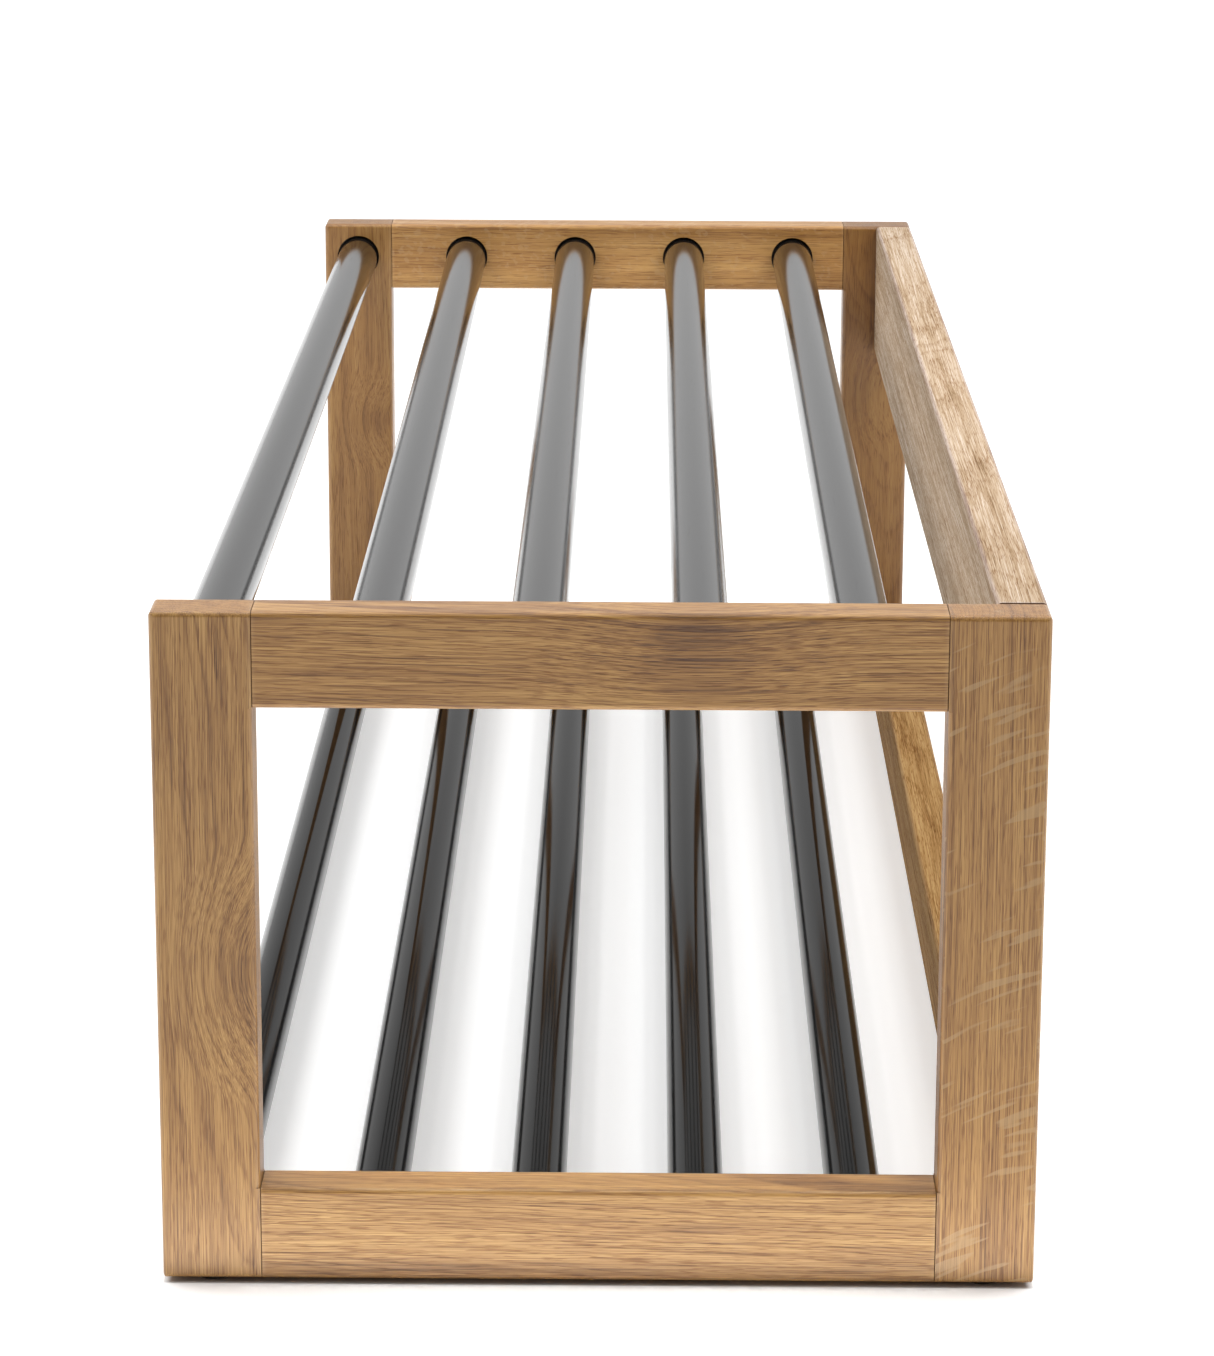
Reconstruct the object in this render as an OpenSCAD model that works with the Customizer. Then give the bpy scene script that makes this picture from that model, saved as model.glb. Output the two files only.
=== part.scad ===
// Luggage and shoe rack: two oak end frames, two oak back rails, and two decks
// of round metal tubes that lie loose in blind sockets in the end frames.
// Millimetres. X runs along the tubes, Y from the open front to the back, Z up.
// The origin is on the floor, under the middle of the rack.

/* [Overall] */
// Length over the two end frames
length = 1070; // [700:5:1500]
// Depth from the front posts' edge to the back posts' edge
depth = 380; // [315:5:500]
// Height of the end frames, without the pads under them
frame_h = 300; // [220:5:450]

/* [End frames] */
// Thickness of the end frames' boards, along the rack
board_t = 24; // [20:1:32]
// Width of a post, as seen from the end
post_w = 43; // [36:1:60]
// Height of the rails between the posts of one end frame
rail_h = 42; // [35:1:60]
// Radius of the eased outer edges of every board
edge_r = 2.5; // [1:0.25:4]
// Bevel round a board's end where it butts on another, which shows as the joint line
joint_bevel = 0.4; // [0.2:0.1:1]

/* [Back rails] */
// Thickness of both back rails
back_t = 22; // [18:1:30]
// Height of the upper back rail
back_upper_h = 82; // [60:1:110]
// Height of the lower back rail
back_lower_h = 42; // [35:1:60]

/* [Tubes] */
// Outer diameter of the tubes
tube_d = 25; // [20:0.5:30]
// Wall of the tubes
tube_wall = 1.2; // [0.8:0.1:3]
// Clear space between the last tube of a deck and the face of the back rails
tube_to_back = 42; // [20:1:60]
// Radial clearance of a tube in its socket
socket_clear = 0.9; // [0.5:0.1:1.2]
// Depth of the blind sockets in the end frames
socket_depth = 10; // [6:0.5:13]
// Free space between a tube's end and the bottom of its socket
end_play = 1; // [0.5:0.25:2]
// Gap left under a tube, which lies low in its socket
tube_rest_gap = 0.3; // [0.2:0.05:0.45]

/* [Dowels] */
// Diameter of the beech dowels
dowel_d = 6; // [5:0.5:8]
// Length of a dowel, half of it in each board
dowel_len = 24; // [16:1:28]
// Glue gap round a dowel
glue_gap = 0.05; // [0.02:0.01:0.1]
// Spacing of the two dowels in a joint between a post and an end rail
end_dowel_pitch = 20; // [14:1:24]
// Spacing of the two dowels in each end of the upper back rail
upper_dowel_pitch = 50; // [20:1:60]
// Spacing of the two dowels in each end of the lower back rail
lower_dowel_pitch = 20; // [14:1:24]

/* [Pads] */
// Diameter of the felt pads under the posts
pad_d = 16; // [12:1:20]
// Thickness of the felt pads
pad_t = 2; // [1:0.5:4]

/* [Hidden] */
TUBES = 5;                       // tubes in a deck
SIDES = [["left", -1], ["right", 1]];
DEPTHS = [["front", -1], ["back", 1]];
DECKS = ["lower", "upper"];
OAK = "#c49a6c";
BEECH = "#d9bd94";
BLACK = "#2e2d2e";
FELT = "#3a3938";
$fn = 96;
EPS = 1;                         // how far a cut runs past a face

floor_z = pad_t;                 // underside of the oak
top_z = floor_z + frame_h;
inner_x = length / 2 - board_t;  // inner face of an end frame
front_y = -depth / 2;
back_y = depth / 2;
joint_y = depth / 2 - post_w;    // face of a post that the end rails butt on
back_face_y = back_y - back_t;   // face of the back rails that looks at the tubes

deck_z = [floor_z + rail_h / 2, top_z - rail_h / 2];
first_tube_y = front_y + post_w / 2;
last_tube_y = back_face_y - tube_to_back - tube_d / 2;
tube_pitch = (last_tube_y - first_tube_y) / (TUBES - 1);
tube_drop = socket_clear - tube_rest_gap;
tube_len = 2 * (inner_x + socket_depth - end_play);
socket_d = tube_d + 2 * socket_clear;

// the end frames' dowels lie in the wood that the sockets leave
end_dowel_x = length / 2 - (board_t - socket_depth) / 2;
back_dowel_y = back_y - back_t / 2;
upper_mid_z = top_z - back_upper_h / 2;
lower_mid_z = floor_z + back_lower_h / 2;

function tube_y(i) = first_tube_y + (i - 1) * tube_pitch;

// ---- outlines ----

// rectangle about the origin with a round on each corner whose flag is 1,
// in the order -x-y, +x-y, +x+y, -x+y
module eased_outline(w, h, r, flags = [1, 1, 1, 1]) {
    corners = [[-1, -1], [1, -1], [1, 1], [-1, 1]];
    difference() {
        square([w, h], center = true);
        for (i = [0 : 3]) if (flags[i] == 1)
            translate([corners[i][0] * w / 2, corners[i][1] * h / 2])
                square(2 * r, center = true);
    }
    for (i = [0 : 3]) if (flags[i] == 1)
        translate([corners[i][0] * (w / 2 - r), corners[i][1] * (h / 2 - r)])
            circle(r);
}

// rectangle about the origin with its four corners cut at 45 degrees
module bevelled_outline(w, h, c) {
    polygon([
        [-w / 2 + c, -h / 2], [w / 2 - c, -h / 2], [w / 2, -h / 2 + c], [w / 2, h / 2 - c],
        [w / 2 - c, h / 2], [-w / 2 + c, h / 2], [-w / 2, h / 2 - c], [-w / 2, -h / 2 + c]
    ]);
}

// ---- boards ----

// bar along X with eased long edges and bevelled ends, centred on the origin
module rail_blank(len, t, h) {
    intersection() {
        rotate([90, 0, 90])
            linear_extrude(len, center = true) eased_outline(t, h, edge_r);
        linear_extrude(h, center = true) bevelled_outline(len, t, joint_bevel);
        rotate([90, 0, 0])
            linear_extrude(t, center = true) bevelled_outline(len, h, joint_bevel);
    }
}

// what a router bit leaves outside a quarter round: a bar along Z that fills
// the corner at the origin, towards +x +y
module corner_waste(len, r) {
    linear_extrude(len, center = true) difference() {
        translate([-r, -r]) square(r + EPS);
        translate([-r, -r]) circle(r);
        translate([-2 * r, -2 * r]) square([r, 2 * r + EPS]);
        translate([-2 * r, -2 * r]) square([2 * r + EPS, r]);
    }
}

// ---- cuts ----

module tube_sockets(side, k, tubes) {
    for (i = tubes)
        translate([side * inner_x, tube_y(i), deck_z[k]]) rotate([0, 90, 0])
            cylinder(h = 2 * socket_depth, d = socket_d, center = true);
}

// one dowel, or with a gap the hole for it; it lies along Y
module dowel_y(gap) {
    rotate([90, 0, 0]) cylinder(h = dowel_len, d = dowel_d + 2 * gap, center = true);
}

module dowel_x(gap) {
    rotate([0, 90, 0]) cylinder(h = dowel_len, d = dowel_d + 2 * gap, center = true);
}

// the dowels of the joint between one post and one rail of an end frame
module end_joint_dowels(side, back, k, gap) {
    for (j = [-1, 1])
        translate([side * end_dowel_x, back * joint_y, deck_z[k] + j * end_dowel_pitch / 2])
            dowel_y(gap);
}

// the dowels between one end of a back rail and the back post there
module back_joint_dowels(side, k, gap) {
    mid = k == 0 ? lower_mid_z : upper_mid_z;
    pitch = k == 0 ? lower_dowel_pitch : upper_dowel_pitch;
    for (j = [-1, 1])
        translate([side * inner_x, back_dowel_y, mid + j * pitch / 2]) dowel_x(gap);
}

// ---- the pieces ----

// full-height post; its edge in the window is eased only between the end rails
module post(side, back) {
    window_h = frame_h - 2 * rail_h;
    color(OAK) difference() {
        translate([side * (length - board_t) / 2, back * (depth - post_w) / 2, floor_z + frame_h / 2])
            intersection() {
                scale([1, back, 1]) linear_extrude(frame_h, center = true)
                    eased_outline(board_t, post_w, edge_r, [0, 0, 1, 1]);
                rotate([90, 0, 0]) linear_extrude(post_w, center = true)
                    eased_outline(board_t, frame_h, edge_r);
                scale([1, back, 1]) rotate([90, 0, 90]) linear_extrude(board_t, center = true)
                    eased_outline(post_w, frame_h, edge_r, [0, 1, 1, 0]);
            }
        for (face = [-1, 1])
            translate([side * (length - board_t) / 2 + face * board_t / 2, back * joint_y,
                       floor_z + frame_h / 2])
                scale([face, -back, 1]) corner_waste(window_h, edge_r);
        for (k = [0, 1]) end_joint_dowels(side, back, k, glue_gap);
        if (back < 0) for (k = [0, 1]) tube_sockets(side, k, [1]);
        if (back > 0) for (k = [0, 1]) back_joint_dowels(side, k, glue_gap);
    }
}

// rail between the two posts of an end frame, with the sockets of tubes 2 to 5
module end_rail(side, k) {
    color(OAK) difference() {
        translate([side * (length - board_t) / 2, 0, deck_z[k]])
            rotate([0, 0, 90]) rail_blank(2 * joint_y, board_t, rail_h);
        tube_sockets(side, k, [2 : TUBES]);
        for (back = [-1, 1]) end_joint_dowels(side, back, k, glue_gap);
    }
}

// long rail between the back posts
module back_rail(k) {
    h = k == 0 ? back_lower_h : back_upper_h;
    color(OAK) difference() {
        translate([0, back_dowel_y, k == 0 ? lower_mid_z : upper_mid_z])
            rail_blank(2 * inner_x, back_t, h);
        for (side = [-1, 1]) back_joint_dowels(side, k, glue_gap);
    }
}

// round tube, lying low in its two sockets
module tube(k, i) {
    color(BLACK) translate([0, tube_y(i), deck_z[k] - tube_drop]) rotate([0, 90, 0])
        difference() {
            cylinder(h = tube_len, d = tube_d, center = true);
            cylinder(h = tube_len + 2 * EPS, d = tube_d - 2 * tube_wall, center = true);
        }
}

module frame_dowels(side) {
    color(BEECH) for (back = [-1, 1]) for (k = [0, 1]) end_joint_dowels(side, back, k, 0);
}

module back_dowels(k) {
    color(BEECH) for (side = [-1, 1]) back_joint_dowels(side, k, 0);
}

// round felt pad, glued under the middle of a post
module pad(side, back) {
    color(FELT) translate([side * (length - board_t) / 2, back * (depth - post_w) / 2, 0])
        cylinder(h = pad_t, d = pad_d);
}

for (s = SIDES) for (d = DEPTHS)
    post(s[1], d[1]);
for (s = SIDES) for (k = [0, 1])
    end_rail(s[1], k);
for (k = [0, 1])
    back_rail(k);
for (k = [0, 1]) for (i = [1 : TUBES])
    tube(k, i);
for (s = SIDES)
    frame_dowels(s[1]);
for (k = [0, 1])
    back_dowels(k);
for (s = SIDES) for (d = DEPTHS)
    pad(s[1], d[1]);
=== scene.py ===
import math

import bpy
import numpy as np
from mathutils import Euler, Matrix, Vector


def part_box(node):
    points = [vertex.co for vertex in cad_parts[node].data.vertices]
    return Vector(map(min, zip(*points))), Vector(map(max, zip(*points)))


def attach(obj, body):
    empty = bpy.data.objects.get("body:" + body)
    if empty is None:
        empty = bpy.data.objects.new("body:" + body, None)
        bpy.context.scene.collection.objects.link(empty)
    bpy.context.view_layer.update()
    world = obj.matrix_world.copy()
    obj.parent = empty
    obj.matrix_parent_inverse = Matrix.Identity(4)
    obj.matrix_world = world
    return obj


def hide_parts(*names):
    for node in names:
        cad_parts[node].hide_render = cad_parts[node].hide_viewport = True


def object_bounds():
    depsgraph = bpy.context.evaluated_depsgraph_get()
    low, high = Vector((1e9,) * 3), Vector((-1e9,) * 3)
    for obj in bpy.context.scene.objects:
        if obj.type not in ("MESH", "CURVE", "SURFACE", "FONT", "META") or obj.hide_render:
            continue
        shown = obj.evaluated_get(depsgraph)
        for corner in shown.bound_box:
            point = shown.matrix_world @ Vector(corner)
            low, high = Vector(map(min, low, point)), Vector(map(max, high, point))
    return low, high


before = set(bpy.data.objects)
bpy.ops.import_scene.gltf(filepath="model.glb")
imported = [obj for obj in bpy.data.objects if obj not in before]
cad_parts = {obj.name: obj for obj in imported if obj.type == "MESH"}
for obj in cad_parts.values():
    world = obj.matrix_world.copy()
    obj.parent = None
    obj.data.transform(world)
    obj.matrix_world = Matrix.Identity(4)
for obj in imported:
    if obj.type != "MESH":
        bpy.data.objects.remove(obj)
cad_low, cad_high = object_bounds()


# ---- Camera ----
# It stands off the right-hand end of the rack, a little above it, and looks down along the
# tubes with a long lens, so the near end frame is seen almost square on.

lens_mm = 116.8
sensor_mm = 36.0
in_front = 1.790                 # from the right-hand end of the rack to the lens
above = 0.445                    # from the top of the rack up to the lens
off_middle = 0.018
look_down = math.radians(14.79)
look_across = math.radians(90.48)
lean = math.radians(0.21)

camera_data = bpy.data.cameras.new("camera")
camera_data.lens = lens_mm
camera_data.sensor_width = sensor_mm
camera_data.clip_start = 0.05
camera_data.clip_end = 200.0
camera = bpy.data.objects.new("camera", camera_data)
eye = Vector((cad_high.x + in_front, off_middle, cad_high.z + above))
aim = Matrix.Rotation(look_across, 4, "Z") @ Matrix.Rotation(math.pi / 2 - look_down, 4, "X")
camera.matrix_world = Matrix.Translation(eye) @ aim @ Matrix.Rotation(lean, 4, "Z")
bpy.context.scene.collection.objects.link(camera)
bpy.context.scene.camera = camera


# ---- Studio ----
# A wide white floor, two big soft lights above the front and the back of the rack, a white room
# that is dimmer behind the camera, a bounce card on the floor at each end, and a narrow light
# under each upper rail.


def put(tree, kind, inputs=None, **settings):
    """Adds a node. An input given a socket is linked to it, and any other value is set."""
    made = tree.nodes.new(kind)
    for name, value in settings.items():
        setattr(made, name, value)
    for name, value in (inputs or {}).items():
        if isinstance(value, bpy.types.NodeSocket):
            tree.links.new(value, made.inputs[name])
        else:
            made.inputs[name].default_value = value
    return made


def maths(tree, operation, first, second=0.0, third=0.0):
    """One sum on plain numbers."""
    return put(tree, "ShaderNodeMath", {0: first, 1: second, 2: third}, operation=operation).outputs[0]


def remap(tree, value, low, high, to_low=0.0, to_high=1.0, kind="SMOOTHSTEP"):
    """Carries low..high to to_low..to_high and holds the ends."""
    ends = {"Value": value, "From Min": low, "From Max": high, "To Min": to_low, "To Max": to_high}
    return put(tree, "ShaderNodeMapRange", ends, interpolation_type=kind).outputs["Result"]


def mixed(tree, factor, first, second, blend="MIX"):
    """Mixes two colours."""
    made = put(tree, "ShaderNodeMix", {0: factor, 6: first, 7: second}, data_type="RGBA",
               blend_type=blend)
    return made.outputs[2]


floor_half = 40.0
floor_white = 0.90
glow_near = 0.28                 # light that the floor gives off by itself near the rack
glow_far = 0.52
glow_from = 0.9                  # metres from the middle of the rack
glow_to = 3.0

floor_mesh = bpy.data.meshes.new("floor")
corners = [(x * floor_half, y * floor_half, 0.0) for x, y in ((-1, -1), (1, -1), (1, 1), (-1, 1))]
floor_mesh.from_pydata(corners, [], [(0, 1, 2, 3)])
floor = bpy.data.objects.new("floor", floor_mesh)
bpy.context.scene.collection.objects.link(floor)
paper = bpy.data.materials.new("floor")
paper.use_nodes = True
sheet = paper.node_tree
surface = sheet.nodes["Principled BSDF"]
surface.inputs["Base Color"].default_value = (floor_white, floor_white, floor_white, 1)
surface.inputs["Roughness"].default_value = 0.9
surface.inputs["Specular IOR Level"].default_value = 0.1
surface.inputs["Emission Color"].default_value = (1, 1, 1, 1)
spot = put(sheet, "ShaderNodeTexCoord")
reach = put(sheet, "ShaderNodeVectorMath", {0: spot.outputs["Object"]}, operation="LENGTH")
reach = reach.outputs["Value"]
glow = remap(sheet, reach, glow_from, glow_to, glow_near, glow_far)
# The floor's own light is off in the strip under each end frame, so the gap there looks dark.
parts = put(sheet, "ShaderNodeSeparateXYZ", {0: spot.outputs["Object"]}).outputs
end_middle = cad_high.x - 0.012
from_end = maths(sheet, "SUBTRACT", maths(sheet, "ABSOLUTE", parts[0]), end_middle)
from_end = maths(sheet, "ABSOLUTE", from_end)
strip_half = 0.0125              # half the thickness of an end frame, and a little more
under_end = maths(sheet, "MULTIPLY", maths(sheet, "LESS_THAN", from_end, strip_half),
                  maths(sheet, "LESS_THAN", maths(sheet, "ABSOLUTE", parts[1]), cad_high.y))
glow = maths(sheet, "MULTIPLY", glow, maths(sheet, "SUBTRACT", 1.0, under_end))
sheet.links.new(glow, surface.inputs["Emission Strength"])
floor_mesh.materials.append(paper)

room = bpy.data.worlds.new("room")
room.use_nodes = True
air = room.node_tree
where = put(air, "ShaderNodeTexCoord").outputs["Generated"]
split = put(air, "ShaderNodeSeparateXYZ", {0: where})
low_band = remap(air, split.outputs["Z"], 0.27, 0.40, 0.80, 0.50)
overhead = remap(air, split.outputs["Z"], 0.45, 0.75, 0.0, 0.75)
up = maths(air, "ADD", low_band, overhead)
ahead = remap(air, split.outputs["X"], -0.1, 0.6, 1.0, 0.10)
light = maths(air, "MULTIPLY", up, ahead)
air.links.new(light, air.nodes["Background"].inputs["Strength"])
air.nodes["Background"].inputs["Color"].default_value = (1, 1, 1, 1)
bpy.context.scene.world = room


def soft_light(name, place, target, wide, tall, watts, spread=math.pi):
    """A flat soft light at place that faces target. spread is how wide it throws, and one that
    throws less than a half turn makes no reflections."""
    lamp = bpy.data.lights.new(name, "AREA")
    lamp.shape = "RECTANGLE"
    lamp.size = wide
    lamp.size_y = tall
    lamp.energy = watts
    lamp.spread = spread
    made = bpy.data.objects.new(name, lamp)
    made.location = place
    made.rotation_mode = "QUATERNION"
    made.rotation_quaternion = (Vector(target) - Vector(place)).to_track_quat("-Z", "Y")
    made.visible_camera = False
    made.visible_glossy = spread == math.pi
    bpy.context.scene.collection.objects.link(made)


soft_watts = 15
card_watts = 0.22
rail_watts = 0.052
rail_spread = math.radians(50)
for side in (-1, 1):
    soft_light(f"soft_light_{side + 1}", (0.12, side * 0.80, 1.40), (-0.25, 0, 0.15), 0.8, 1.0, soft_watts)
    card_x = side * (cad_high.x + 0.05)
    soft_light(f"bounce_card_{side + 1}", (card_x, 0, 0.002), (card_x, 0, 1), 0.08, 0.5, card_watts)
    # A narrow light under each upper rail that reaches only the top of the lower one.
    rail_x = side * end_middle
    soft_light(f"rail_light_{side + 1}", (rail_x, 0, 0.24), (rail_x, 0, 0), 0.02, 0.30, rail_watts,
               rail_spread)

bpy.context.scene.view_settings.view_transform = "Standard"


# ---- Oak posts ----
# Four posts of solid European oak, 24 by 43 mm, two in each end frame. They are planed, eased
# with a small round on the long edges, sanded, and finished with a matt hard-wax oil.

pore_colour = (0.55, 0.41, 0.28, 1)
ray_colour = (0.50, 0.33, 0.160, 1)
end_grain_colour = (0.80, 0.72, 0.62, 1)
# Glue and dirt in the butted joints, darkened almost to black as painted shade of the groove.
glue_and_groove_shade_colour = (0.045, 0.016, 0.004, 1)
# Painted shade: the colour that darkens the wood inside the tube sockets.
socket_shade_colour = (0.02, 0.010, 0.005, 1)
socket_rim = 0.3                 # millimetres at a socket's mouth that the painted shade leaves out
socket_end = 11.0                # past the bottom of every socket
socket_reach = 13.6              # a little more than a socket's radius
oak_colours = [(0.0, (0.130, 0.050, 0.008, 1)), (0.35, (0.290, 0.134, 0.030, 1)),
               (0.6, (0.415, 0.211, 0.056, 1)), (1.0, (0.58, 0.340, 0.112, 1))]

# How long, wide and thick each kind of mark in the wood is, in millimetres, grain first.
slow_bow = (300, 40, 40)
wide_wave = (190, 44, 44)
small_wave = (44, 9, 9)
fibre_size = (60, 0.42, 0.42)
streak_size = (220, 0.80, 0.80)
band_size = (190, 5, 5)
cloud_size = (150, 26, 26)
vein_size = (110, 0.55, 0.55)
pore_size = (11, 0.40, 0.40)
ray_size = (4.0, 28, 3.2)
ray_patch_size = (70, 30, 30)
ray_slope = -0.40
ray_arch = 1.6
grain_turn = {"X": (0, 0, 0), "Y": (0, 0, -math.pi / 2), "Z": (0, math.pi / 2, 0)}
grain_axis = {"X": 0, "Y": 1, "Z": 2}


def vector(tree, operation, first, second=(0, 0, 0), output="Vector", **more):
    """One sum on vectors."""
    values = {0: first, 1: second}
    values.update(more)
    return put(tree, "ShaderNodeVectorMath", values, operation=operation).outputs[output]


def stretched(tree, place, sizes, detail=1.0, output="Fac"):
    """Smooth noise whose lumps are as long, wide and thick as sizes says, in millimetres."""
    scaled = vector(tree, "MULTIPLY", place, tuple(1 / size for size in sizes))
    made = put(tree, "ShaderNodeTexNoise", {"Vector": scaled, "Scale": 1.0, "Detail": detail})
    return made.outputs[output]


def swing(tree, noise, much):
    """Noise about a half, turned into plus or minus much."""
    return maths(tree, "MULTIPLY_ADD", noise, 2 * much, -much)


def grey(value):
    """A colour with no hue, value bright."""
    return (value, value, value, 1)


def ramp(tree, factor, stops):
    """A colour ramp through the given (place, colour) stops."""
    made = put(tree, "ShaderNodeValToRGB", {"Fac": factor})
    scale = made.color_ramp
    scale.elements[0].position, scale.elements[0].color = stops[0]
    scale.elements[1].position, scale.elements[1].color = stops[-1]
    for position, colour in stops[1:-1]:
        scale.elements.new(position).color = colour
    return made.outputs["Color"]


def bend(tree, place, sizes, much):
    """Moves a place by slow noise, up to about much millimetres each way."""
    lump = stretched(tree, place, sizes, 1.0, "Color")
    push = vector(tree, "SUBTRACT", lump, (0.5, 0.5, 0.5))
    push = vector(tree, "SCALE", push, Scale=2.5 * much)
    return vector(tree, "ADD", place, push)


def oak(name, node, grain, pith, number, ring=2.3, lean=(0.0, 0.0), tone=(1, 1, 1), wave=1.0,
        season=1.0, veins=1.0, blotch=1.0, rays=0.0, knots=(), sockets=False, butted=False,
        shine=0.5, oil=0.35, dry=0.0, lines=1.0):
    """The wood of one board, cut from a tree whose pith runs along the grain.

    The distance from the pith, bent by slow noise and by the knots, is divided into year rings.
    Each ring starts with a dark band of open pores and fades to plain late wood. Pores are fine
    dashes along the grain, denser in that band, and rays are thin plates that stand out from
    the pith. grain is the board's long axis, and pith is where its middle lies from the pith in
    millimetres: level with it the faces show straight lines, above it they show arches. A knot
    is (along, across, deep, size, push, dip): its place from the board's middle, how far it
    reaches, and how far it moves the grain across and deep. lines is how strong the fine lines are.
    """
    low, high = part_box(node)
    middle = (low + high) / 2
    half = (high - low) / 2 * 1000
    made = bpy.data.materials.new(name)
    made.use_nodes = True
    tree = made.node_tree
    surface = tree.nodes["Principled BSDF"]
    spot = put(tree, "ShaderNodeTexCoord")

    turn = Euler(grain_turn[grain])
    start = Vector((number * 317.0, pith[0], pith[1]))
    shift = start - turn.to_matrix() @ (middle * 1000)
    axes = {"Vector": spot.outputs["Object"], "Location": shift, "Rotation": turn, "Scale": (1000,) * 3}
    straight = put(tree, "ShaderNodeMapping", axes).outputs[0]

    place = bend(tree, straight, slow_bow, 2.2 * wave)
    around_knot = None
    for along, wide, deep, size, push, dip in knots:
        centre = (start.x + along, pith[0] + wide, pith[1] + deep)
        away = vector(tree, "MULTIPLY", vector(tree, "SUBTRACT", straight, centre), (0.75, 1, 1))
        near = remap(tree, vector(tree, "LENGTH", away, output="Value"), 0, size, 1, 0)
        place = vector(tree, "ADD", place, vector(tree, "SCALE", (0, push, dip), Scale=near))
        core = maths(tree, "POWER", near, 4.0)
        around_knot = core if around_knot is None else maths(tree, "MAXIMUM", around_knot, core)

    rings = bend(tree, bend(tree, place, wide_wave, 5.0 * wave), small_wave, 0.35 * wave)
    local = vector(tree, "SUBTRACT", rings, (start.x, 0, 0))
    across = vector(tree, "DOT_PRODUCT", local, (lean[0], 1, 0), output="Value")
    deep = vector(tree, "DOT_PRODUCT", local, (lean[1], 0, 1), output="Value")
    section = put(tree, "ShaderNodeCombineXYZ", {1: across, 2: deep}).outputs[0]
    radius = vector(tree, "LENGTH", section, output="Value")
    count = maths(tree, "DIVIDE", radius, ring)
    uneven = {"W": maths(tree, "DIVIDE", count, 5), "Scale": 1.0, "Detail": 1.0}
    uneven = put(tree, "ShaderNodeTexNoise", uneven, noise_dimensions="1D").outputs["Fac"]
    count = maths(tree, "MULTIPLY_ADD", uneven, 6.0, count)
    year = put(tree, "ShaderNodeTexWhiteNoise", {"W": maths(tree, "FLOOR", count)},
               noise_dimensions="1D").outputs["Value"]
    part = maths(tree, "FRACT", count)
    early = ramp(tree, part, [(0.0, grey(0.2)), (0.10, grey(1)), (0.32, grey(0.5)), (0.65, grey(0)),
                              (1.0, grey(0.1))])

    fibre = stretched(tree, place, fibre_size, 2.0)
    streak = stretched(tree, place, streak_size, 3.0)
    band = stretched(tree, place, band_size, 1.0)
    cloud = stretched(tree, place, cloud_size, 1.0)
    vein = remap(tree, stretched(tree, place, vein_size, 1.0), 0.61, 0.69)
    dash = maths(tree, "MULTIPLY_ADD", early, 0.10, stretched(tree, place, pore_size, 1.0))
    pores = remap(tree, dash, 0.57, 0.70)

    strong = maths(tree, "MULTIPLY_ADD", year, 0.24 * season, 0.08 * season)
    tint = maths(tree, "MULTIPLY_ADD", maths(tree, "MULTIPLY", early, strong), -1.0, 0.66)
    tint = maths(tree, "ADD", tint, swing(tree, fibre, 0.75 * lines))
    tint = maths(tree, "ADD", tint, swing(tree, streak, 0.24 * lines))
    tint = maths(tree, "ADD", tint, swing(tree, band, 0.30))
    tint = maths(tree, "ADD", tint, swing(tree, cloud, 0.20 * blotch))
    tint = maths(tree, "MULTIPLY_ADD", vein, -0.24 * veins, tint)
    if around_knot is not None:
        tint = maths(tree, "MULTIPLY_ADD", around_knot, -0.30, tint)
    colour = ramp(tree, tint, oak_colours)
    colour = mixed(tree, maths(tree, "MULTIPLY", pores, 0.75), colour,
                   mixed(tree, 1.0, colour, pore_colour, "MULTIPLY"))

    grip = maths(tree, "MULTIPLY_ADD", pores, 0.16, 0.38 + dry)
    grip = maths(tree, "ADD", grip, swing(tree, cloud, 0.08))
    height = maths(tree, "MULTIPLY_ADD", pores, -0.08, maths(tree, "MULTIPLY", fibre, 0.05))
    height = maths(tree, "MULTIPLY_ADD", early, -0.03, height)
    if rays:
        parts = put(tree, "ShaderNodeSeparateXYZ", {0: place})
        off_middle_line = maths(tree, "SUBTRACT", parts.outputs[1], pith[0])
        arch = maths(tree, "POWER", maths(tree, "DIVIDE", off_middle_line, 26), 2.0)
        rise = vector(tree, "DOT_PRODUCT", place, (1, ray_slope, 0.2), output="Value")
        rise = maths(tree, "MULTIPLY_ADD", arch, ray_arch, rise)
        plates = {0: rise, 1: parts.outputs[1], 2: parts.outputs[2]}
        plates = put(tree, "ShaderNodeCombineXYZ", plates).outputs[0]
        plate = stretched(tree, plates, ray_size, 1.0)
        patch = stretched(tree, straight, ray_patch_size, 0.0)
        plate = maths(tree, "MULTIPLY_ADD", patch, 0.22, plate)
        flecks = maths(tree, "MULTIPLY", remap(tree, plate, 0.71, 0.79), rays)
        colour = mixed(tree, flecks, colour, ray_colour)
        grip = maths(tree, "MULTIPLY_ADD", flecks, -0.12, grip)

    inward = vector(tree, "SUBTRACT", spot.outputs["Object"], middle)
    inward = vector(tree, "ABSOLUTE", vector(tree, "SCALE", inward, Scale=1000))
    depth = put(tree, "ShaderNodeSeparateXYZ", {0: vector(tree, "SUBTRACT", half, inward)}).outputs
    least = maths(tree, "MINIMUM", depth[0], depth[1])
    most = maths(tree, "MAXIMUM", depth[0], depth[1])
    from_edge = maths(tree, "MAXIMUM", least, maths(tree, "MINIMUM", most, depth[2]))
    eased = remap(tree, from_edge, 0.5, 2.6, 1, 0)
    colour = mixed(tree, maths(tree, "MULTIPLY", eased, 0.14), colour, (0.60, 0.40, 0.21, 1))
    grip = maths(tree, "MULTIPLY_ADD", eased, -0.06, grip)

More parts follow.
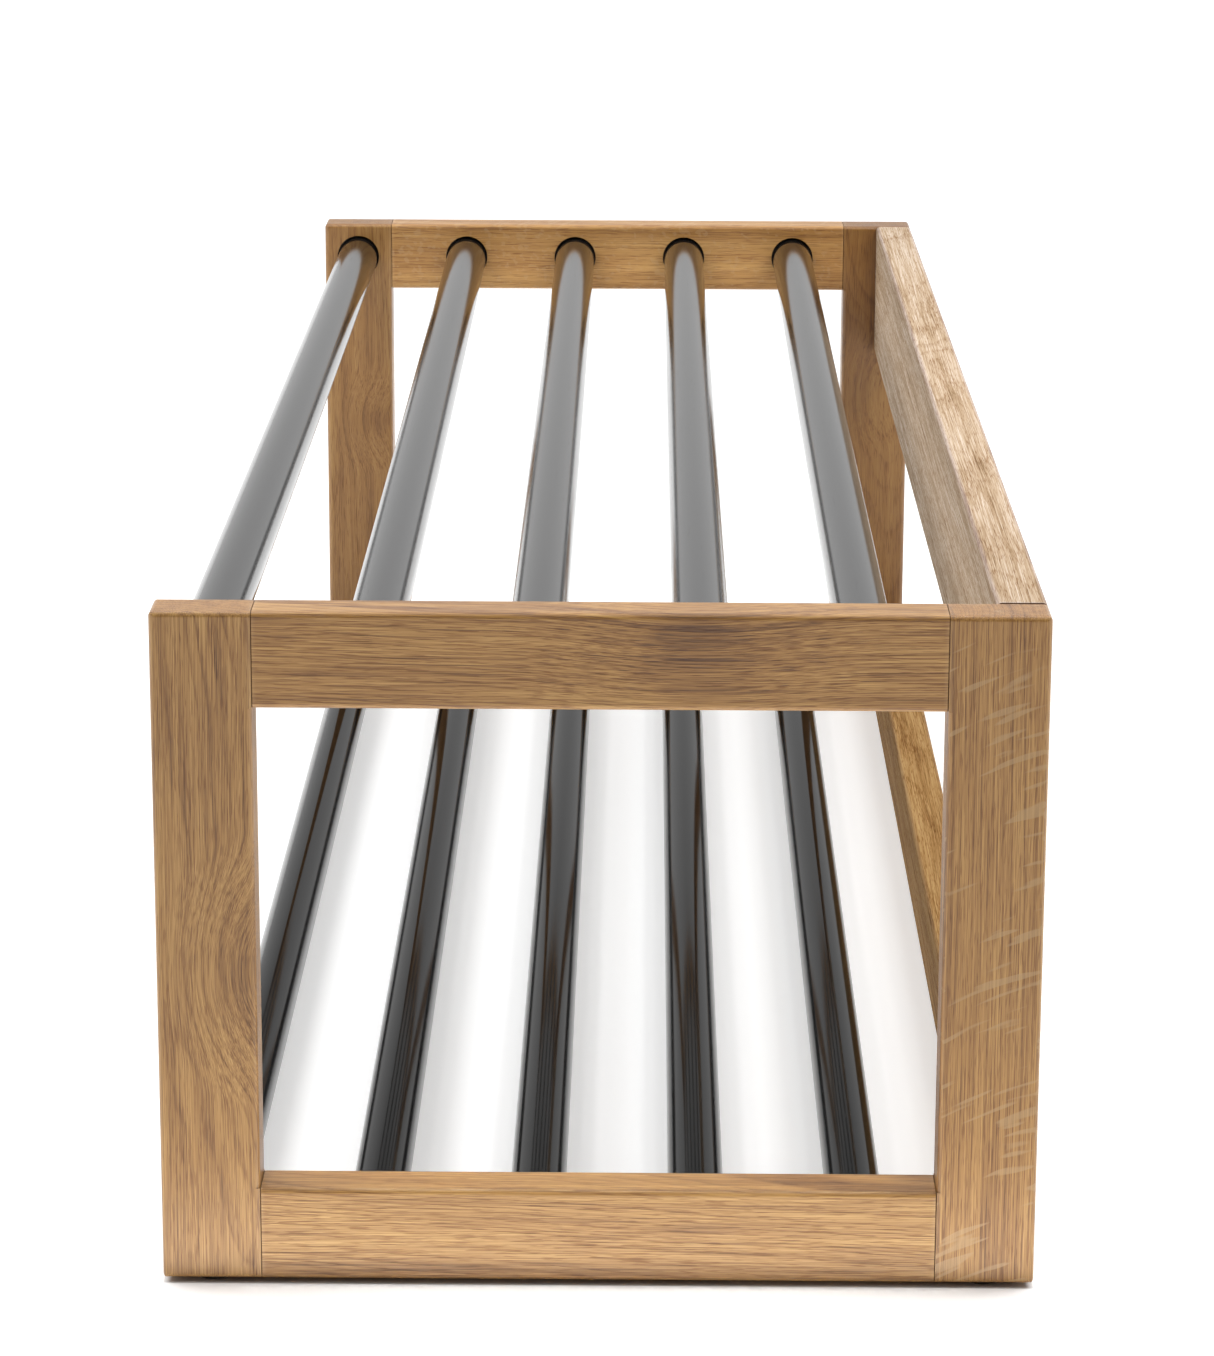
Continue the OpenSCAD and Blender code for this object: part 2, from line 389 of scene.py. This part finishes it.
    along = {"X": (1, 0, 0), "Y": (0, 1, 0), "Z": (0, 0, 1)}[grain]
    facing = vector(tree, "DOT_PRODUCT", spot.outputs["Normal"], along, output="Value")
    end_grain = remap(tree, maths(tree, "ABSOLUTE", facing), 0.5, 0.95, 0, 0.7)
    colour = mixed(tree, end_grain, colour, mixed(tree, 1.0, colour, end_grain_colour, "MULTIPLY"))
    colour = mixed(tree, 1.0, colour, (*tone, 1), "MULTIPLY")
    # A dark line where a board's end butts on the next: glue and dirt in the joint, with painted shade of
    # the groove between the boards. The line also loses its shine.
    if butted:
        glue_and_groove_shade = remap(tree, depth[grain_axis[grain]], 0.2, 0.6, 0.9, 0)
        colour = mixed(tree, glue_and_groove_shade, colour, glue_and_groove_shade_colour)
        dull = maths(tree, "MULTIPLY_ADD", glue_and_groove_shade, -shine, shine)
        tree.links.new(dull, surface.inputs["Specular IOR Level"])
    # Painted shade: the wood inside each tube socket is darkened almost to black, more so deeper in, to
    # stand for the shade in the bore.
    if sockets:
        first, last = (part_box(f"upper_tube_{i}") for i in (1, 5))
        tube_y = (first[0].y + first[1].y) * 500
        pitch = ((last[0].y + last[1].y) * 500 - tube_y) / 4
        tube_z = [sum(corner.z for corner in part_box(f"{deck}_tube_1")) * 500
                  for deck in ("lower", "upper")]
        in_millimetres = vector(tree, "SCALE", spot.outputs["Object"], Scale=1000)
        spots = put(tree, "ShaderNodeSeparateXYZ", {0: in_millimetres})
        sideways = maths(tree, "PINGPONG", maths(tree, "SUBTRACT", spots.outputs[1], tube_y), pitch / 2)
        rise = [maths(tree, "ABSOLUTE", maths(tree, "SUBTRACT", spots.outputs[2], z)) for z in tube_z]
        offset = {0: sideways, 1: maths(tree, "MINIMUM", *rise)}
        offset = put(tree, "ShaderNodeCombineXYZ", offset).outputs[0]
        painted_socket_shade = maths(tree, "LESS_THAN", vector(tree, "LENGTH", offset, output="Value"), socket_reach)
        inner_face = -1 if middle.x > 0 else 1
        into = maths(tree, "SUBTRACT", spots.outputs[0], middle.x * 1000)
        into = maths(tree, "MULTIPLY", into, -inner_face)
        into = maths(tree, "ADD", into, half.x)
        shade = remap(tree, into, socket_rim, 2.0, 0.5, 0.95)
        painted_socket_shade = maths(tree, "MULTIPLY", painted_socket_shade, maths(tree, "LESS_THAN", into, socket_end))
        painted_socket_shade = maths(tree, "MULTIPLY", painted_socket_shade, maths(tree, "GREATER_THAN", into, socket_rim))
        colour = mixed(tree, maths(tree, "MULTIPLY", painted_socket_shade, shade), colour, socket_shade_colour)

    bump = put(tree, "ShaderNodeBump", {"Height": height, "Distance": 0.001, "Strength": 0.8})
    tree.links.new(colour, surface.inputs["Base Color"])
    tree.links.new(grip, surface.inputs["Roughness"])
    tree.links.new(bump.outputs[0], surface.inputs["Normal"])
    surface.inputs["Coat Weight"].default_value = oil
    surface.inputs["Coat Roughness"].default_value = 0.32
    return made


def dress(node, material):
    """Gives a CAD node its finish."""
    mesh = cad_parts[node].data
    for index in range(len(mesh.materials)):
        mesh.materials[index] = material


posts = {
    "right_front_post": dict(pith=(9, 64), number=1, ring=2.6, lean=(0.05, 0.03), wave=1.2, sockets=True,
                             veins=0.6, knots=[(-10, 27, -12, 50, 24, 8)]),
    "right_back_post": dict(pith=(88, 6), number=2, ring=1.7, lean=(0.01, 0.0), wave=0.5, veins=0.3,
                            blotch=0.5, rays=0.55, tone=(0.98, 0.95, 0.88)),
    "left_front_post": dict(pith=(14, 50), number=3, ring=2.8, lean=(0.06, -0.02), sockets=True,
                            tone=(0.76, 0.72, 0.68), knots=[(20, 8, -12, 30, 8, 4)], lines=0.45,
                            season=0.5, veins=0.4, blotch=1.6),
    "left_back_post": dict(pith=(-12, -46), number=4, ring=3.1, lean=(0.08, 0.05), wave=2.0,
                           tone=(0.62, 0.55, 0.44), knots=[(40, -4, 12, 42, 14, 6)], lines=0.45,
                           season=0.45, veins=0.4, blotch=2.2),
}
for node, cut in posts.items():
    dress(node, oak(node, node, "Z", **cut))


# ---- End rails ----
# An upper and a lower oak rail between the two posts of each end frame, butted on the posts,
# glued and dowelled. Tubes two to five of each deck stand in blind sockets in them.

end_rails = {
    "right_upper_rail": dict(pith=(30, 70), number=5, ring=2.4, lean=(0.02, 0.03), wave=0.8,
                             veins=1.3, tone=(0.98, 0.95, 0.89), knots=[(40, -12, 9, 64, 2.5, 4)]),
    "right_lower_rail": dict(pith=(34, 80), number=6, ring=2.9, lean=(0.01, 0.05),
                             tone=(1.03, 1.04, 1.06)),
    "left_upper_rail": dict(pith=(20, 84), number=7, ring=2.6, lean=(-0.02, 0.03), rays=0.25,
                            tone=(1.06, 1.04, 1.02), lines=0.4, season=0.45, veins=0.4, blotch=1.8),
    "left_lower_rail": dict(pith=(40, 60), number=8, ring=2.4, lean=(0.03, -0.02)),
}
for node, cut in end_rails.items():
    dress(node, oak(node, node, "Y", sockets=True, butted=True, **cut))


# ---- Back rails ----
# Two long oak rails between the back posts, glued and dowelled in their ends: a tall upper one
# that stops what lies on the top deck, and a low one behind the bottom deck.

back_rails = {
    # The upper rail's pale, bluish tone is painted sheen over the board's own colour: with shine and oil
    # turned down, it stands in for the white reflection of the oil at a grazing look.
    "back_upper_rail": dict(pith=(6, 92), number=9, ring=2.5, lean=(0.012, 0.02), tone=(1.05, 1.50, 3.70),
                            season=0.4, veins=0.8, blotch=0.25, shine=0.12, oil=0.0, dry=0.35),
    "back_lower_rail": dict(pith=(-8, 60), number=10, ring=3.4, lean=(0.02, 0.03), tone=(0.78, 0.84, 1.05),
                            shine=0.1, oil=0.0, dry=0.35),
}
for node, cut in back_rails.items():
    dress(node, oak(node, node, "X", butted=True, **cut))


# ---- Dowels ----
# Twenty-four beech dowels, 6 by 24 mm, glued half in each board: two in every joint of the end
# frames and two in each end of a back rail. They are hidden once the frame is together.

beech = bpy.data.materials.new("beech")
beech.use_nodes = True
tree = beech.node_tree
surface = tree.nodes["Principled BSDF"]
spot = put(tree, "ShaderNodeTexCoord").outputs["Object"]
place = put(tree, "ShaderNodeVectorMath", {0: spot, "Scale": 1000}, operation="SCALE").outputs[0]
for_colour = stretched(tree, place, (0.9, 0.9, 0.5), 2.0)
tree.links.new(ramp(tree, for_colour, [(0.3, (0.42, 0.25, 0.13, 1)), (0.7, (0.62, 0.42, 0.25, 1))]),
               surface.inputs["Base Color"])
surface.inputs["Roughness"].default_value = 0.62
for node in ("left_frame_dowels", "right_frame_dowels", "back_lower_dowels", "back_upper_dowels"):
    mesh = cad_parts[node].data
    for index in range(len(mesh.materials)):
        mesh.materials[index] = beech


# ---- Tubes ----
# Ten drawn steel tubes, 25 mm across with a 1.2 mm wall, cut square, eased at the rims and
# sprayed satin black. They drop into the oversize blind sockets and can turn there.

wall = 0.0012                    # thickness of the steel
rim = 0.0004                     # round on the cut ends
around = 96
ring_gap = 0.020                 # between the rings of the long wall

# How long, wide and thick each kind of mark in the lacquer is, in millimetres, along the tube first.
peel_size = (2.6, 1.6, 1.6)
draw_size = (140, 0.5, 0.5)
scuff_size = (22, 0.35, 0.35)
patch_size = (90, 14, 14)


def skin(name, points, loop):
    """A closed skin over a grid of points, rings by places round a ring.

    Each quad joins a place to the next one round and to the same two on the next ring. With loop
    the last ring joins the first, and without it each end ring closes on its own middle.
    """
    rings, places = points.shape[:2]
    index = np.arange(rings * places).reshape(rings, places)
    here = index if loop else index[:-1]
    there = np.roll(index, -1, axis=0) if loop else index[1:]
    quads = np.stack([here, np.roll(here, -1, axis=1), np.roll(there, -1, axis=1), there], axis=-1)
    faces = quads.reshape(-1, 4).tolist()
    vertices = points.reshape(-1, 3)
    if not loop:
        ends = np.stack([points[0].mean(axis=0), points[-1].mean(axis=0)])
        vertices = np.concatenate([vertices, ends])
        first, last = index[0], index[-1]
        total = rings * places
        faces += np.stack([np.roll(first, -1), first, np.full(places, total)], axis=-1).tolist()
        faces += np.stack([last, np.roll(last, -1), np.full(places, total + 1)], axis=-1).tolist()
    mesh = bpy.data.meshes.new(name)
    mesh.from_pydata(vertices.tolist(), [], faces)
    mesh.polygons.foreach_set("use_smooth", np.ones(len(mesh.polygons), bool))
    made = bpy.data.objects.new(name, mesh)
    bpy.context.scene.collection.objects.link(made)
    return made


def tube_wall_points(start, end, middle_y, middle_z, radius):
    """Rings of a tube along X: out along the outside, over a rounded rim, back along the bore,
    and over the other rim. Each rim is two quarter rounds of radius rim."""
    turn = np.linspace(0, math.pi / 2, 5)
    outside = np.linspace(start + rim, end - rim, round((end - start) / ring_gap))
    bore = radius - wall
    x = np.concatenate([
        outside,
        end - rim + rim * np.sin(turn[1:]),
        end - rim + rim * np.cos(turn),
        [(start + end) / 2],
        start + rim - rim * np.sin(turn),
        start + rim - rim * np.cos(turn[:-1]),
    ])
    r = np.concatenate([
        np.full(len(outside), radius),
        radius - rim + rim * np.cos(turn[1:]),
        bore + rim - rim * np.sin(turn),
        [bore],
        bore + rim - rim * np.cos(turn),
        radius - rim + rim * np.sin(turn[:-1]),
    ])
    angle = np.linspace(0, 2 * math.pi, around, endpoint=False)
    y = middle_y + r[:, None] * np.cos(angle)
    z = middle_z + r[:, None] * np.sin(angle)
    return np.stack([np.broadcast_to(x[:, None], y.shape), y, z], axis=-1)


def satin_black(name, number, black, coat):
    """Sprayed satin black over drawn steel: a faint orange peel, fine scuffs that run along the
    tube, and a little dust that dulls it in patches. black is how dark the coat is and coat its
    refractive index. The lower deck's are set lower, as painted shade: darker and less reflective,
    to stand for the shade that the upper deck casts on them."""
    made = bpy.data.materials.new(name)
    made.use_nodes = True
    tree = made.node_tree
    surface = tree.nodes["Principled BSDF"]
    spot = put(tree, "ShaderNodeTexCoord").outputs["Object"]
    axes = {"Vector": spot, "Location": (number * 219.0, 0, 0), "Scale": (1000,) * 3}
    place = put(tree, "ShaderNodeMapping", axes).outputs[0]
    peel = stretched(tree, place, peel_size, 1.0)
    draw = stretched(tree, place, draw_size, 2.0)
    scuff = stretched(tree, place, scuff_size, 1.0)
    patch = stretched(tree, place, patch_size, 2.0)
    worn = remap(tree, scuff, 0.70, 0.80)
    grip = maths(tree, "MULTIPLY_ADD", patch, 0.07, 0.06)
    grip = maths(tree, "MULTIPLY_ADD", draw, 0.05, grip)
    grip = maths(tree, "MULTIPLY_ADD", worn, 0.14, grip)
    plain = (black, 0.94 * black, 0.92 * black, 1)
    dark = mixed(tree, maths(tree, "MULTIPLY", worn, 0.3), plain, grey(0.04))
    dust = remap(tree, maths(tree, "MULTIPLY", patch, maths(tree, "ADD", peel, 0.5)), 0.45, 0.9, 0, 0.6)
    dark = mixed(tree, dust, dark, (2.2 * black, 2.1 * black, 2.0 * black, 1))
    height = maths(tree, "MULTIPLY_ADD", peel, 0.004, maths(tree, "MULTIPLY", draw, 0.003))
    height = maths(tree, "MULTIPLY_ADD", worn, -0.002, height)
    bump = put(tree, "ShaderNodeBump", {"Height": height, "Distance": 0.001, "Strength": 1.0})
    tree.links.new(dark, surface.inputs["Base Color"])
    tree.links.new(grip, surface.inputs["Roughness"])
    tree.links.new(bump.outputs[0], surface.inputs["Normal"])
    surface.inputs["IOR"].default_value = coat
    return made


deck_finishes_with_shade = {"lower": (0.003, 1.165), "upper": (0.007, 1.5)}      # black and coat of satin_black; the lower deck's are lower, as painted shade from the upper deck over the same paint
number = 0
for deck, finish in deck_finishes_with_shade.items():
    for place_in_deck in range(1, 6):
        node = f"{deck}_tube_{place_in_deck}"
        low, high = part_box(node)
        middle = (low + high) / 2
        points = tube_wall_points(low.x, high.x, middle.y, middle.z, (high.z - low.z) / 2)
        tube = skin(f"{node}_black", points, loop=True)
        tube.data.materials.append(satin_black(f"satin_black_{node}", number, *finish))
        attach(tube, node)
        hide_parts(node)
        number += 1


# ---- Felt pads ----
# Four round pads of hard grey-black felt, 16 by 2 mm, glued under the middle of the posts, so
# that the oak stands clear of the floor with a thin dark gap.

felt = bpy.data.materials.new("felt")
felt.use_nodes = True
tree = felt.node_tree
surface = tree.nodes["Principled BSDF"]
spot = put(tree, "ShaderNodeTexCoord").outputs["Object"]
place = put(tree, "ShaderNodeVectorMath", {0: spot, "Scale": 1000}, operation="SCALE").outputs[0]
fuzz = stretched(tree, place, (0.5, 0.5, 0.16), 3.0)
shade = ramp(tree, fuzz, [(0.3, (0.022, 0.021, 0.020, 1)), (0.75, (0.11, 0.105, 0.10, 1))])
bump = put(tree, "ShaderNodeBump", {"Height": fuzz, "Distance": 0.0002, "Strength": 1.0})
tree.links.new(shade, surface.inputs["Base Color"])
tree.links.new(bump.outputs[0], surface.inputs["Normal"])
surface.inputs["Roughness"].default_value = 0.95
surface.inputs["Sheen Weight"].default_value = 0.3

fuzz_depth = 0.00012             # how far the nap sinks in at most
for side in ("left", "right"):
    for end in ("front", "back"):
        node = f"{side}_{end}_pad"
        low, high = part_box(node)
        middle = (low + high) / 2
        radius = (high.x - low.x) / 2
        thick = high.z - low.z
        share = np.linspace(0, 1, 13)
        # Rings out along the underside, up a side that bulges as half a sine, and back in on top.
        side_r = radius * (0.97 + 0.03 * np.sin(share * math.pi))
        side_z = low.z + thick * (0.5 - 0.5 * np.cos(share * math.pi))
        profile_r = np.concatenate([radius * np.linspace(0.2, 0.95, 6), side_r,
                                    radius * np.linspace(0.95, 0.2, 6)])
        profile_z = np.concatenate([np.full(6, low.z), side_z, np.full(6, high.z)])
        angle = np.linspace(0, 2 * math.pi, 96, endpoint=False)
        nap = np.random.default_rng(7 + len(node)).random((len(profile_r), len(angle))) * fuzz_depth
        r = profile_r[:, None] - nap
        points = np.stack([middle.x + r * np.cos(angle), middle.y + r * np.sin(angle),
                           np.broadcast_to(profile_z[:, None], r.shape)], axis=-1)
        pad = skin(f"{node}_felt", points, loop=False)
        pad.data.materials.append(felt)
        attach(pad, "rack")
        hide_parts(node)
